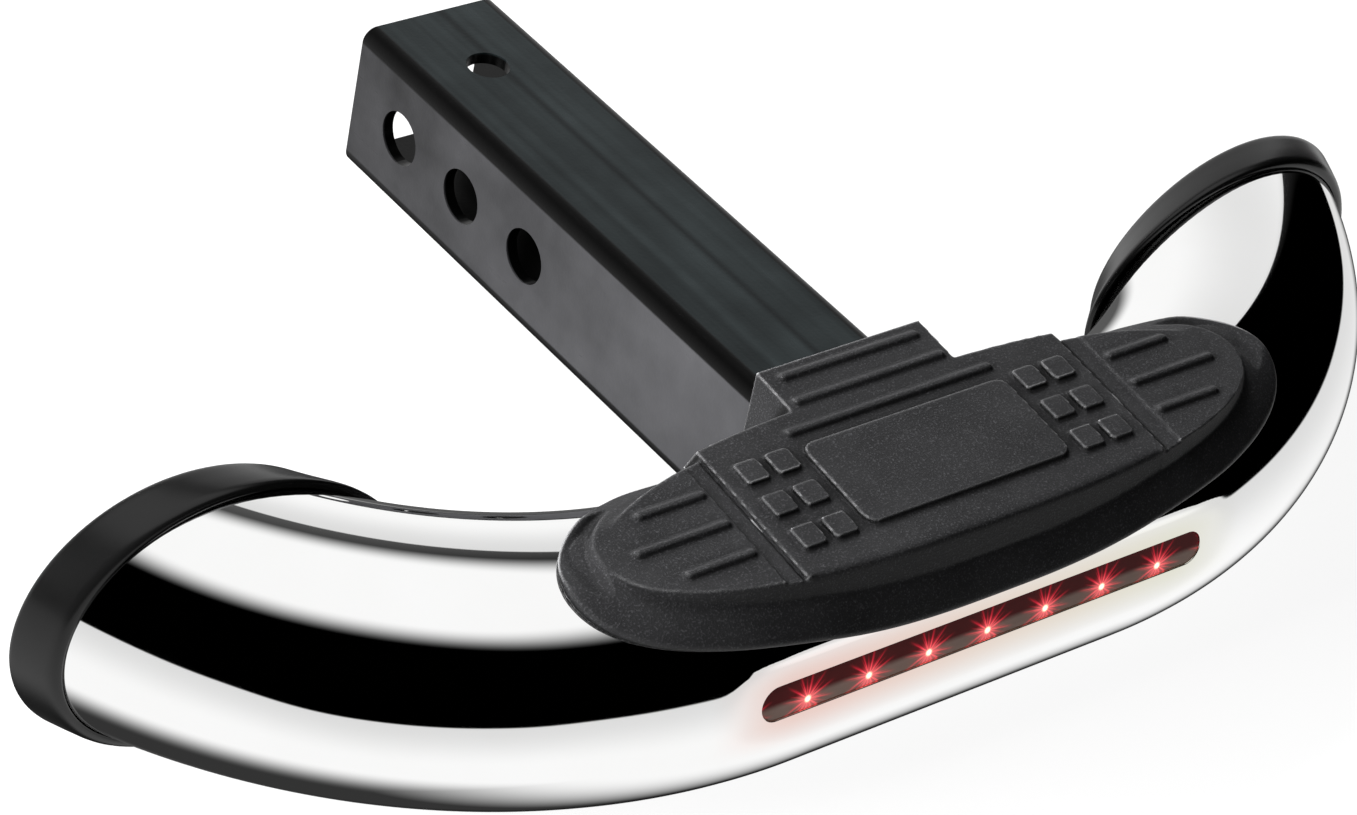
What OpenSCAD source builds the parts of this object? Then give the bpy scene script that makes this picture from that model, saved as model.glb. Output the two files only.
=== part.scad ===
// Hitch receiver step: a chromed cross bar on a square shank, with a moulded tread pad,
// two push-on end caps and a row of red lamps behind a slot in the bar's front face.
// Millimetres. X runs across the vehicle, Y towards the vehicle, Z up.
// The origin is on the shank's axis, at the centre of the rearmost pin hole.

/* [Shank] */
// Outside width of the square shank tube
shank_w = 50.8; // [40:0.1:60]
// Wall of the shank tube
shank_wall = 4; // [3:0.1:6]
// Outside corner radius of the shank tube
shank_corner = 4.7; // [4.2:0.1:8]
// Distance from the bar's axis to the shank's open end
shank_reach = 251.2; // [220:0.1:340]
// Height of the shank's axis above the bar's axis
shank_rise = 11.2; // [6:0.1:13]

/* [Pin holes] */
// Diameter of the side pin holes
pin_d = 18; // [12:0.1:20]
// Distance from the shank's open end to the first pin hole
pin_first = 25.4; // [20:0.1:34]
// Distance from one pin hole to the next
pin_pitch = 34; // [28:0.1:44]
// Number of pin holes along the shank
pin_count = 3; // [1:1:3]
// Diameter of the hole in the shank's top wall
top_hole_d = 14; // [8:0.1:18]
// Distance from the shank's open end to the top hole
top_hole_back = 32; // [20:0.1:60]

/* [Bar] */
// Outside diameter of the bar's tube
bar_d = 82; // [76:0.1:92]
// Wall of the bar's tube
bar_wall = 2; // [1.5:0.1:2.4]
// Length of the straight stretch in the bar's middle
bar_mid = 122; // [110:0.5:150]
// Radius of the bends, at the tube's axis
bend_r = 163; // [150:0.5:190]
// Distance that the bar's ends reach back from its middle axis
bar_back = 77.5; // [70:0.1:88]

/* [Weld] */
// Leg of the fillet weld round the shank
weld_leg = 3.6; // [3:0.1:4.2]
// Gap between the shank's coped end and the bar
weld_gap = 0.2; // [0.1:0.05:0.4]

/* [End caps] */
// Thickness of the cap's band over the tube
cap_t = 3; // [2:0.1:4]
// Width of the cap's band
cap_band = 12.4; // [8:0.1:18]
// Thickness of the cap's flat back
cap_floor = 2.6; // [2:0.1:4]
// Chamfer round the cap's back edge
cap_chamfer = 1.4; // [0.6:0.1:1.8]
// Depth of the plug that holds the cap in the tube
cap_plug = 18; // [10:0.5:26]
// Wall of the plug
cap_plug_wall = 2.2; // [1.5:0.1:3]
// Clearance between the cap and the tube
cap_gap = 0.15; // [0.1:0.05:0.3]

/* [Pad] */
// Half length of the pad, to the tip of its flange
pad_half = 131; // [124:0.5:136]
// Half width of the pad's flange in plan
pad_half_w = 34.5; // [33:0.1:37]
// Distance that the pad's middle lies in front of the bar's axis
pad_fwd = 2.6; // [1:0.1:4]
// Thickness of the flange that wraps the bar
pad_flange = 3.2; // [2.6:0.1:4]
// Height of the pad's top above the bar's axis, over that axis
pad_top = 43; // [42.8:0.1:46]
// Slope of the pad's top, down to the front, in degrees
pad_tilt = 6; // [3:0.1:8]
// Clearance between the pad and what it sits on
pad_gap = 0.2; // [0.1:0.05:0.4]
// Half length of the raised middle of the pad
deck_half = 67; // [62:0.1:69]
// Half width of the raised middle, at its top
deck_half_w = 29.6; // [27:0.1:31]
// Height of the tread ribs and blocks
tread_h = 1.4; // [0.8:0.1:2]
// Width of a tread rib
rib_w = 3.4; // [2.4:0.1:4.4]
// Side of a square tread block
block_w = 8.2; // [6:0.1:9.5]
// Half length of the plain raised panel
panel_half = 38; // [30:0.5:40]

/* [Pad tab] */
// Half width of the tab over the shank
tab_half = 30.6; // [30.4:0.1:33]
// Distance from the bar's axis to the tab's back edge
tab_back = 45.2; // [42:0.1:50]
// Wall of the tab's roof and skirts
tab_wall = 3; // [2.4:0.1:3.6]
// Height of the skirts' lower edge above the bar's axis
tab_low = 23; // [18:0.5:28]

/* [Lamp] */
// Upward tilt of the pressed flat that holds the lamp, in degrees
lamp_tilt = 9.5; // [6:0.1:12]
// Depth of the pressed flat below the round of the bar
press_depth = 3.1; // [2.9:0.1:3.4]
// Half length of the lamp's slot
slot_half = 83; // [60:0.5:84]
// Height of the lamp's slot
slot_h = 11; // [8:0.1:11.4]
// Depth of the lens's face below the pressed flat
lens_sink = 0.5; // [0.2:0.1:1]
// Overlap of the lens's rim behind the slot's edge
lens_rim = 3; // [2:0.1:3.2]
// Thickness of the lens's rim
lens_t = 2; // [1.5:0.1:3]
// Thickness of the gasket between the lens and the bar
gasket_t = 1; // [0.6:0.1:1.2]
// Clearance of the lens in the slot
lens_gap = 0.3; // [0.2:0.05:0.5]
// Depth of the lamp's housing behind the lens
housing_depth = 14; // [12:0.1:18]
// Wall of the lamp's housing
housing_wall = 1.8; // [1.4:0.1:2.4]
// Thickness of the circuit board
board_t = 1.6; // [1:0.1:2]
// Number of lamps in the row
led_count = 7; // [7:1:7]
// Distance from one lamp to the next
led_pitch = 22.1; // [16:0.1:23]
// Diameter of one lamp
led_d = 5; // [3:0.1:6]
// Distance that the row of lamps lies below the slot's middle
led_drop = 2.4; // [0:0.1:3]

/* [Fastenings] */
// Diameter of the push-in clips' stems
clip_d = 5.6; // [4:0.1:6.4]
// Diameter of the clips' heads
clip_head_d = 7; // [6.4:0.1:9]
// Thickness of the clips' heads
clip_head_t = 1.2; // [0.8:0.1:1.4]
// Diameter of the wire hole in the bar's back
wire_hole_d = 11; // [8:0.1:13]
// Diameter of the board screws
screw_d = 2.5; // [2:0.1:3]

/* [Hidden] */

$fn = 96;
far = 400;
bar_r = bar_d / 2;
bore_r = bar_r - bar_wall;
// The bends run a little past the caps' backs, and the cut ends are trimmed square to Y
bend_sweep = acos((bend_r - bar_back - cap_floor) / (bend_r + bar_r + cap_t)) + 2;
bend_fn = 360;

// The tube's inside corners are a little rounder than its wall alone would make them
shank_bore_corner = shank_corner - shank_wall + 0.8;
// The weld's toes are not quite feather edges
weld_toe = 0.4;

// The pad's plan outlines are ovals with blunt ends, which get blunter as the power grows
pad_power = 2.85;
deck_end = 123;
deck_power = 2.6;
deck_fwd = 1;
deck_h = 9;
deck_draft = 3;
// A lower band with a groove at its inner edge lies at each end of the deck
deck_step = 0.7;
groove_w = 1.6;
groove_depth = 1.2;
plateau_half = 117.5;
plateau_half_w = 28;
plateau_power = 2.8;
plateau_fwd = 2.6;
plateau_in = 74;
plateau_lap = 1;
plateau_h = 7;
plateau_draft = 2.4;

// The tread, on the pad's sloping top: each end rib's place, inner end and outer end,
// each tab rib's place and half length, then the square blocks and the plain panel
end_ribs = [[10.3, 75, 100], [-1.6, 75, 108.8], [-13.7, 75, 100]];
tab_ribs = [[40.5, 26.5], [30.7, 28.7], [20.9, 39]];
block_cols = [-57.6, -46.4];
block_rows = [12, -1.4, -14.8];
block_corner = 1.2;
panel_front = -18.4;
panel_back = 15;
panel_corner = 4;
tread_root = 1;
// The hollow under the tab starts this far behind the bar's axis
tab_front = 16;

// Places of the push-in clips, and how each clip is made
clip_spots = [[-50, 14], [50, 14], [-88, -16], [88, -16]];
clip_clear = 0.7;
clip_seat = 0.4;
clip_room = 0.3;
clip_stem = 14;
clip_barbs = [-13, -10, -7];
clip_barb_h = 1.4;
clip_barb_out = 1;

// The pressed flat, measured out from the bar's axis
flat_out = bar_r - press_depth;
flat_in = flat_out - bar_wall;
press_half = 95;
press_up = 8.5;
press_down = 22;
press_corner = 8;
rim_h = slot_h + 2 * lens_rim;
rim_half = slot_half + lens_rim;
lens_back = flat_in - gasket_t - lens_t;
housing_floor = lens_back - housing_depth;
tray_half = rim_half - housing_wall;
tray_h = rim_h - 2 * housing_wall;
post_h = 3;
post_d = 2.4 * screw_d;
post_spots = [-77, 77];
board_back = housing_floor + housing_wall + post_h;
board_face = board_back + board_t;
board_gap = 0.5;
screw_bite = 2;
screw_room = 0.3;
screw_head_d = 1.9 * screw_d;
screw_head_t = 0.6 * screw_d;
led_base_d = led_d + 0.8;
led_base_t = 1;
led_tip = lens_back - 0.6;
resistor_l = 6.4;
resistor_d = 2.4;
resistor_waist = 1.9;
resistor_band = 1.6;
resistor_y = 4;
resistor_spots = [-44.2, 0, 44.2];

// The rubber bushes for the wire: one in the housing's floor, one in the bar's back wall
gland_d = 8;
bush_lip = 1.5;
bush_gap = 0.15;
wire_rise = asin(shank_rise / bar_r);
wire_bush_in = sqrt(pow(bore_r, 2) - pow(wire_hole_d / 2 + bush_lip, 2));

module to_part_frame() {
    translate([0, pin_first - shank_reach, -shank_rise]) children();
}

module to_lamp_frame() {
    rotate([90 - lamp_tilt, 0, 0]) children();
}

module behind(y) {
    translate([-far, y, -far]) cube([2 * far, far, 2 * far]);
}

module mirrored() {
    children();
    mirror([1, 0, 0]) children();
}

// A round rod of radius r that follows the bar's axis
module bar_run(r) {
    rotate([0, 90, 0]) cylinder(h = bar_mid, r = r, center = true);
    mirrored()
        translate([bar_mid / 2, bend_r, 0])
            rotate([0, 0, -90])
                rotate_extrude(angle = bend_sweep, $fn = bend_fn)
                    translate([bend_r, 0]) circle(r);
}

// A square rod with round corners, from the bar's axis back along Y
module square_rod(w, corner, y0, y1) {
    side = w / 2 - corner;
    translate([0, y1, shank_rise])
        rotate([90, 0, 0])
            linear_extrude(y1 - y0) {
                square([w, 2 * side], center = true);
                square([2 * side, w], center = true);
                for (x = [-side, side], y = [-side, side])
                    translate([x, y]) circle(corner, $fn = 48);
            }
}

module middle_rod(r) {
    rotate([0, 90, 0]) cylinder(h = shank_w + 6 * weld_leg, r = r, center = true);
}

// The space within a distance "out" of the shank and a distance "up" of the bar
module joint_block(out, up) {
    intersection() {
        square_rod(shank_w + 2 * out, shank_corner + out, 0, bar_d);
        middle_rod(bar_r + up);
    }
}

// Shank tube: coped to the bar, with cross-drilled pin holes
module shank_tube() to_part_frame() color("#232326") difference() {
    square_rod(shank_w, shank_corner, 0, shank_reach);
    square_rod(shank_w - 2 * shank_wall, shank_bore_corner, -1, shank_reach + 1);
    middle_rod(bar_r + weld_gap);
    for (i = [0 : pin_count - 1])
        translate([0, shank_reach - pin_first - i * pin_pitch, shank_rise])
            rotate([0, 90, 0]) cylinder(h = 2 * shank_w, d = pin_d, center = true);
    translate([0, shank_reach - top_hole_back, shank_rise])
        cylinder(h = shank_w, d = top_hole_d);
}

// Weld bead: a flat fillet all round the coped joint
module weld_bead() to_part_frame() color("#3a3a3d") difference() {
    hull() {
        joint_block(weld_leg, weld_toe, $fn = 64);
        joint_block(weld_toe, weld_leg, $fn = 64);
    }
    square_rod(shank_w + 2 * weld_gap, shank_corner + weld_gap, -1, bar_d);
    middle_rod(bar_r + weld_gap);
}

// The outline of the press tool round the lamp, grown by g
module press_outline(g) {
    hull() {
        for (x = [-1, 1])
            translate([x * (press_half - press_corner), press_up - press_corner])
                circle(press_corner + g, $fn = 32);
        translate([0, -press_down / 2 - press_corner / 2])
            square([2 * (press_half + g), press_down - press_corner], center = true);
    }
}

module press_form(out, g) {
    to_lamp_frame() translate([0, 0, out]) linear_extrude(20) press_outline(g);
}

// The frame of the wire's hole in the bar's back wall: Z runs out from the bar's axis
module to_wire_hole() {
    rotate([wire_rise - 90, 0, 0]) children();
}

// The axis of the bar nearest to a clip, and the clip's place from there in plan
function clip_axis(p) = abs(p[0]) < bar_mid / 2 ? [p[0], 0]
    : bend_mid(p) + bend_r * (p - bend_mid(p)) / norm(p - bend_mid(p));
function bend_mid(p) = [sign(p[0]) * bar_mid / 2, bend_r];

// The frame of a clip: it stands square on the bar's skin, where Z is zero
module at_clip(p) {
    off = p - clip_axis(p);
    translate(clip_axis(p))
        rotate([0, asin(norm(off) / bar_r), atan2(off[1], off[0])])
            translate([0, 0, bar_r]) children();
}

module slot_outline(half, h) {
    square([2 * half - h, h], center = true);
    for (x = [-1, 1]) translate([x * (half - h / 2), 0]) circle(h / 2, $fn = 48);
}

// Step bar: a round tube bent at both sides, pressed flat and slotted for the lamp
module step_bar() to_part_frame() color("#d8dade") difference() {
    bar_run(bar_r);
    difference() {
        bar_run(bore_r);
        press_form(flat_in, bar_wall);
    }
    press_form(flat_out, 0);
    behind(bar_back);
    to_lamp_frame() translate([0, 0, flat_in - 8]) linear_extrude(20) slot_outline(slot_half, slot_h);
    for (p = clip_spots) at_clip(p)
        translate([0, 0, -bar_wall - 1]) cylinder(h = bar_wall + 2, d = clip_d + clip_clear);
    to_wire_hole() cylinder(h = bar_d, d = wire_hole_d);
}

// The slice of a rod along the bar that lies between two distances back
module end_slice(r, y0, y1) {
    intersection() {
        bar_run(r);
        translate([0, y0, -far]) cube([far, y1 - y0, 2 * far]);
    }
}

// End cap: a moulded band and flat back with an eased edge, held by a plug in the tube
module end_cap() {
    back = bar_back + cap_floor;
    difference() {
        union() {
            end_slice(bar_r + cap_t, back - cap_band, back - cap_chamfer);
            end_slice(bar_r + cap_t - cap_chamfer / 2, back - cap_chamfer, back);
        }
        end_slice(bar_r + cap_gap, back - cap_band - 1, bar_back);
    }
    difference() {
        end_slice(bore_r - cap_gap, bar_back - cap_plug, bar_back);
        end_slice(bore_r - cap_gap - cap_plug_wall, bar_back - cap_plug - 1, bar_back + 1);
    }
}

module left_end_cap() to_part_frame() color("#161618") mirror([1, 0, 0]) end_cap();
module right_end_cap() to_part_frame() color("#161618") end_cap();

// A blunt-ended oval: half length a, half width b
function oval(a, b, power, n = 72) = [for (i = [0 : n - 1])
    let (c = cos(360 * i / n), s = sin(360 * i / n))
    [a * sign(c) * pow(abs(c), 2 / power), b * s]];

// The frame of the pad's sloping top: Z is zero on its surface
module to_pad_top() {
    translate([0, 0, pad_top]) rotate([pad_tilt, 0, 0]) children();
}

module above_pad(h) {
    to_pad_top() translate([-far, -far, h]) cube([2 * far, 2 * far, far]);
}

// A tread rib: a half-sunk round bar with round ends, drawn on the pad's top
module tread_rib(y, x0, x1) {
    r = rib_w / 2;
    translate([0, y, tread_h - r]) {
        translate([x0 + r, 0, 0]) rotate([0, 90, 0]) cylinder(h = x1 - x0 - 2 * r, r = r, $fn = 32);
        for (x = [x0 + r, x1 - r]) translate([x, 0, 0]) sphere(r, $fn = 32);
    }
}

module rounded_plate(x0, x1, y0, y1, corner) {
    linear_extrude(tread_h + tread_root) {
        translate([x0 + corner, y0]) square([x1 - x0 - 2 * corner, y1 - y0]);
        translate([x0, y0 + corner]) square([x1 - x0, y1 - y0 - 2 * corner]);
        for (x = [x0 + corner, x1 - corner], y = [y0 + corner, y1 - corner])
            translate([x, y]) circle(corner, $fn = 32);
    }
}

// Everything that stands on the pad's sloping top
module tread() {
    to_pad_top() {
        mirrored() {
            for (r = end_ribs) tread_rib(r[0], r[1], r[2]);
            for (x = block_cols, y = block_rows)
                translate([x, y, -tread_root])
                    rounded_plate(-block_w / 2, block_w / 2, -block_w / 2, block_w / 2, block_corner);
        }
        for (r = tab_ribs) tread_rib(r[0], -r[1], r[1]);
        translate([0, 0, -tread_root])
            rounded_plate(-panel_half, panel_half, panel_front, panel_back, panel_corner);
    }
}

// The flange that wraps the bar, inside the pad's plan outline
module pad_flange_form() {
    intersection() {
        bar_run(bar_r + pad_flange);
        translate([0, -pad_fwd, 0]) linear_extrude(bar_d) polygon(oval(pad_half, pad_half_w, pad_power));
    }
}

// A raised stretch of the pad: its walls draft outwards below the sloping top
module raised(a, b, power, fwd, h, draft) {
    to_pad_top()
        translate([0, -fwd, -h])
            linear_extrude(h, scale = [a / (a + draft), b / (b + draft)], slices = 1)
                polygon(oval(a + draft, b + draft, power));
}

module x_band(x0, x1) {
    translate([x0, -far, 0]) cube([x1 - x0, 2 * far, far]);
}

module tab_block() {
    translate([-tab_half, 0, tab_low]) cube([2 * tab_half, tab_back, bar_d]);
}

// The hollow under the tab, open at the bottom, that clears the shank and its weld
module tab_hollow() {
    inner = tab_half - tab_wall;
    difference() {
        translate([-inner, tab_front, 0]) cube([2 * inner, tab_back - tab_wall - tab_front, bar_d]);
        above_pad(-tab_wall);
    }
    translate([-inner, tab_front, 0]) cube([2 * inner, bar_d, shank_rise + shank_w / 2 + pad_gap]);
    joint_block(weld_leg + pad_gap, weld_leg + pad_gap);
}

// Step pad: one moulding that wraps the bar and saddles the shank
module step_pad() to_part_frame() color("#26272a") difference() {
    union() {
        difference() {
            union() {
                pad_flange_form();
                intersection() {
                    raised(deck_end, deck_half_w, deck_power, deck_fwd, deck_h, deck_draft);
                    x_band(-deck_half, deck_half);
                }
                mirrored() intersection() {
                    raised(plateau_half, plateau_half_w, plateau_power, plateau_fwd, plateau_h, plateau_draft);
                    x_band(deck_half - plateau_lap, pad_half);
                }
                tab_block();
            }
            above_pad(0);
            mirrored() intersection() {
                x_band(deck_half, plateau_in);
                above_pad(-deck_step);
            }
        }
        tread();
    }
    bar_run(bar_r + pad_gap);
    tab_hollow();
    mirrored() intersection() {
        x_band(deck_half, deck_half + groove_w);
        above_pad(-groove_depth);
    }
    for (p = clip_spots) at_clip(p)
        cylinder(h = clip_seat + clip_head_t + clip_room, d = clip_head_d + 2 * clip_room);
}

// Push-in clips: a flat head held in the pad, and a barbed stem through the bar's skin
module pad_clips() to_part_frame() color("#1a1a1c") for (p = clip_spots) at_clip(p) {
    translate([0, 0, clip_seat]) cylinder(h = clip_head_t, d = clip_head_d, $fn = 48);
    translate([0, 0, clip_seat - clip_stem]) cylinder(h = clip_stem, d = clip_d - 2, $fn = 32);
    for (z = clip_barbs) translate([0, 0, z])
        cylinder(h = clip_barb_h, d1 = clip_d - 1.6, d2 = clip_d + clip_barb_out, $fn = 32);
}

// The lamp's parts are drawn looking at the pressed flat: X along the row, Y up, Z out
module lamp_slab(half, h, z0, z1) {
    translate([0, 0, z0]) linear_extrude(z1 - z0) slot_outline(half, h);
}

// Lens: a clear moulding whose face fills the slot and whose rim lies behind the skin
module lamp_lens() to_part_frame() to_lamp_frame() color("#5a1010") {
    lamp_slab(rim_half, rim_h, lens_back, lens_back + lens_t);
    lamp_slab(slot_half - lens_gap, slot_h - 2 * lens_gap, lens_back + lens_t, flat_out - lens_sink);
}

// Gasket: a foam ring that bonds the lens's rim to the inside of the bar
module lamp_gasket() to_part_frame() to_lamp_frame() color("#202020") difference() {
    lamp_slab(rim_half, rim_h, lens_back + lens_t, flat_in);
    lamp_slab(slot_half + lens_gap, slot_h + 2 * lens_gap, lens_back, flat_in + 1);
}

// Housing: an open tray whose rim is bonded to the back of the lens
module lamp_housing() to_part_frame() to_lamp_frame() color("#18181a") {
    difference() {
        lamp_slab(rim_half, rim_h, housing_floor, lens_back);
        lamp_slab(tray_half, tray_h, housing_floor + housing_wall, lens_back + 1);
        translate([0, 0, housing_floor - 1]) cylinder(h = 2 * housing_wall, d = gland_d);
    }
    for (x = post_spots) translate([x, 0, housing_floor + housing_wall / 2]) difference() {
        cylinder(h = housing_wall / 2 + post_h, d = post_d);
        translate([0, 0, housing_wall / 2 + post_h - screw_bite - screw_room])
            cylinder(h = housing_depth, d = screw_d);
    }
}

// Circuit board, screwed down on the housing's posts
module lamp_board() to_part_frame() to_lamp_frame() color("#1f5a34") difference() {
    lamp_slab(tray_half - board_gap, tray_h - 2 * board_gap, board_back, board_face);
    for (x = post_spots) translate([x, 0, board_back - 1]) cylinder(h = board_t + 2, d = screw_d + screw_room);
}

// Lamp: a flanged round bulb with a domed tip, standing on the board
module led(i) to_part_frame() to_lamp_frame() color("#ff3020") {
    translate([(i - (led_count + 1) / 2) * led_pitch, -led_drop, 0]) {
        translate([0, 0, board_face]) cylinder(h = led_base_t, d = led_base_d, $fn = 32);
        translate([0, 0, board_face]) cylinder(h = led_tip - board_face - led_d / 2, d = led_d, $fn = 32);
        translate([0, 0, led_tip - led_d / 2]) sphere(d = led_d, $fn = 32);
    }
}

// Resistors lie on the board between the lamps
module lamp_resistors() to_part_frame() to_lamp_frame() color("#c9a877")
    for (x = resistor_spots) translate([x, resistor_y, board_face + resistor_d / 2]) rotate([0, 90, 0]) {
        cylinder(h = resistor_l, d = resistor_waist, center = true, $fn = 32);
        for (s = [-1, 1]) translate([0, 0, s * (resistor_l - resistor_band) / 2])
            cylinder(h = resistor_band, d = resistor_d, center = true, $fn = 32);
    }

// Board screws: pan heads on short shanks
module board_screws() to_part_frame() to_lamp_frame() color("#a8abb0")
    for (x = post_spots) translate([x, 0, 0]) {
        translate([0, 0, board_face]) cylinder(h = screw_head_t, d = screw_head_d, $fn = 32);
        translate([0, 0, board_back - screw_bite])
            cylinder(h = board_t + screw_bite, d = screw_d - 0.1, $fn = 32);
    }

// A rubber bush with a groove that holds it in a wall of thickness t, standing on Z = 0
module bush(hole_d, t, bore) {
    rotate_extrude($fn = 48) difference() {
        translate([bore / 2, -bush_lip]) square([hole_d / 2 + bush_lip - bore / 2, t + 2 * bush_lip]);
        translate([hole_d / 2 - bush_gap, -bush_gap]) square([2 * bush_lip + 1, t + 2 * bush_gap]);
    }
}

module lamp_wire_gland() to_part_frame() to_lamp_frame() color("#101011") {
    translate([0, 0, housing_floor]) bush(gland_d, housing_wall, gland_d / 2);
}

// The bar's wire bush sits in its back wall, inside the shank
module bar_wire_grommet() to_part_frame() to_wire_hole() color("#101011") {
    translate([0, 0, wire_bush_in]) bush(wire_hole_d, bar_r - wire_bush_in, wire_hole_d / 2);
}

shank_tube();
step_bar();
weld_bead();
left_end_cap();
right_end_cap();
step_pad();
pad_clips();
lamp_lens();
lamp_gasket();
lamp_housing();
lamp_board();
led(1);  // led_1
led(2);  // led_2
led(3);  // led_3
led(4);  // led_4
led(5);  // led_5
led(6);  // led_6
led(7);  // led_7
lamp_resistors();
board_screws();
lamp_wire_gland();
bar_wire_grommet();
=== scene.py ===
# A hitch receiver step: a chromed bar on a square shank, with a moulded tread pad,
# two push-on end caps and a row of red lamps behind a smoked lens.
import math
import bpy
import numpy as np
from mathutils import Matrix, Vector
from mathutils.geometry import delaunay_2d_cdt


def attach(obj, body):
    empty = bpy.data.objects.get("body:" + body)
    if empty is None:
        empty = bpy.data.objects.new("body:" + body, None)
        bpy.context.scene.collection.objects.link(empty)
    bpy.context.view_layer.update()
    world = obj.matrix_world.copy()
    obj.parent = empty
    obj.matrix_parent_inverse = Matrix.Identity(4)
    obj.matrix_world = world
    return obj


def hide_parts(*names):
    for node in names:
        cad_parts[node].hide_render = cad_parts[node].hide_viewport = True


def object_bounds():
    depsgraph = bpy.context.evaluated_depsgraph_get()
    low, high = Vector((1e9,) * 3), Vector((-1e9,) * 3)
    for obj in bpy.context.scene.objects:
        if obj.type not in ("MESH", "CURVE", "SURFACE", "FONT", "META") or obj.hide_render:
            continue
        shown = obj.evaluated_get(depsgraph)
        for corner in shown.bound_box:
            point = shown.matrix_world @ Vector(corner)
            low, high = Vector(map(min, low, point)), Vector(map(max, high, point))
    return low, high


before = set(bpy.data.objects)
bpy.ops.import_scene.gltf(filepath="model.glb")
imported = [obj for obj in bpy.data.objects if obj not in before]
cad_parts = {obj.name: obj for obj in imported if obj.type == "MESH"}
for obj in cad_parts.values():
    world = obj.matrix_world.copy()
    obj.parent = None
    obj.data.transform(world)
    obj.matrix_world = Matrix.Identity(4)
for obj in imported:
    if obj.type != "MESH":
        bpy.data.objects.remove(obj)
cad_low, cad_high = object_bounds()


# Camera: a long lens above the step's front left corner. Its place, turn and length were
# solved from the shank's corners and holes and from the bar's outline.
SHOT_FROM, SHOT_TURN, SHOT_LENS = (-0.75323, -0.88795, 0.76515), (52.9226, -9.8278, -37.1658), 116.26
camera = bpy.data.objects.new("camera", bpy.data.cameras.new("camera"))
bpy.context.scene.collection.objects.link(camera)
camera.data.sensor_width = 36
camera.data.lens = SHOT_LENS
camera.data.clip_start, camera.data.clip_end = 0.05, 50
camera.location = SHOT_FROM
camera.rotation_euler = [math.radians(d) for d in SHOT_TURN]
bpy.context.scene.camera = camera
bpy.context.scene.view_settings.view_transform = "Standard"


# Studio: a white ceiling, a dark wall across the front and a white table, which is what the
# chrome mirrors. Plain even light and two lamps, which the chrome doesn't show, light the rest.
def add(tree, kind, sockets=None, **settings):
    """Adds a shader node, with its settings, and with its sockets set or linked."""
    node = tree.nodes.new("ShaderNode" + kind)
    for name, value in settings.items():
        setattr(node, name, value)
    for name, value in (sockets or {}).items():
        if isinstance(value, bpy.types.Node):
            value = value.outputs[0]
        if isinstance(value, bpy.types.NodeSocket):
            tree.links.new(value, node.inputs[name])
        else:
            node.inputs[name].default_value = value
    return node


def linear(code):
    """An sRGB hex colour as the linear RGBA that Blender's sockets take."""
    parts = [int(code[i:i + 2], 16) / 255 for i in (1, 3, 5)]
    return [p / 12.92 if p <= 0.04045 else ((p + 0.055) / 1.055) ** 2.4 for p in parts] + [1]


# Directions that the mirrored room is shaded by: straight down and a little back, the open
# right front, and the far back corner that the camera looks towards
UNDER_STEP, RIGHT_FRONT, FAR_CORNER = (0.179, 0.310, -0.934), (0.6, -0.8, 0.0), (0.570, 0.597, -0.564)
# How high the dark wall starts and ends, as the compass direction from the front and the
# height, both in degrees
WALL_FOOT = [(-180, 44), (-130, 30), (-105, 4), (-80, 0), (-60, -6), (-38, -12.5), (-15, -10),
             (0, -6), (30, -4), (90, -6), (112, -11), (118, 44), (180, 44)]
WALL_HEAD = [(-180, 60), (-85, 59), (-40, 58.5), (0, 56), (60, 56), (115, 58), (180, 58)]

world = bpy.data.worlds.new("studio")
bpy.context.scene.world = world
world.use_nodes = True
sky = world.node_tree
sky.nodes.clear()
direction = add(sky, "TexCoord")
# Height over the horizon, and compass direction from the front
toward = add(sky, "SeparateXYZ", {0: direction})
rise = add(sky, "Math", {0: toward.outputs[2]}, operation="ARCSINE")
front = add(sky, "Math", {0: toward.outputs[1], 1: -1.0}, operation="MULTIPLY")
turn = add(sky, "Math", {0: toward.outputs[0], 1: front}, operation="ARCTAN2")
round_share = add(sky, "MapRange", {0: turn, 1: -math.pi, 2: math.pi, 3: 0.0, 4: 1.0})
wall_foot = add(sky, "FloatCurve", {1: round_share})
wall_head = add(sky, "FloatCurve", {1: round_share})
for curve, places in ((wall_foot, WALL_FOOT), (wall_head, WALL_HEAD)):
    line = curve.mapping.curves[0]
    while len(line.points) < len(places):
        line.points.new(0.5, 0.5)
    for point, (around, height) in zip(line.points, places):
        point.location = ((around + 180) / 360, (height + 90) / 180)
        point.handle_type = "AUTO_CLAMPED"
    curve.mapping.update()
height_share = add(sky, "MapRange", {0: rise, 1: -math.pi / 2, 2: math.pi / 2, 3: 0.0, 4: 1.0})
over_foot = add(sky, "Math", {0: height_share, 1: wall_foot}, operation="SUBTRACT")
over_head = add(sky, "Math", {0: height_share, 1: wall_head}, operation="SUBTRACT")
# The table has a sharp edge against the wall, and the ceiling a soft one
table_edge = add(sky, "MapRange", {0: over_foot, 1: -0.004, 2: 0.003, 3: 1.0, 4: 0.0},
                 interpolation_type="SMOOTHSTEP")
ceiling_edge = add(sky, "MapRange", {0: over_head, 1: -0.048, 2: 0.042, 3: 0.0, 4: 1.0},
                   interpolation_type="SMOOTHSTEP")
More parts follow.
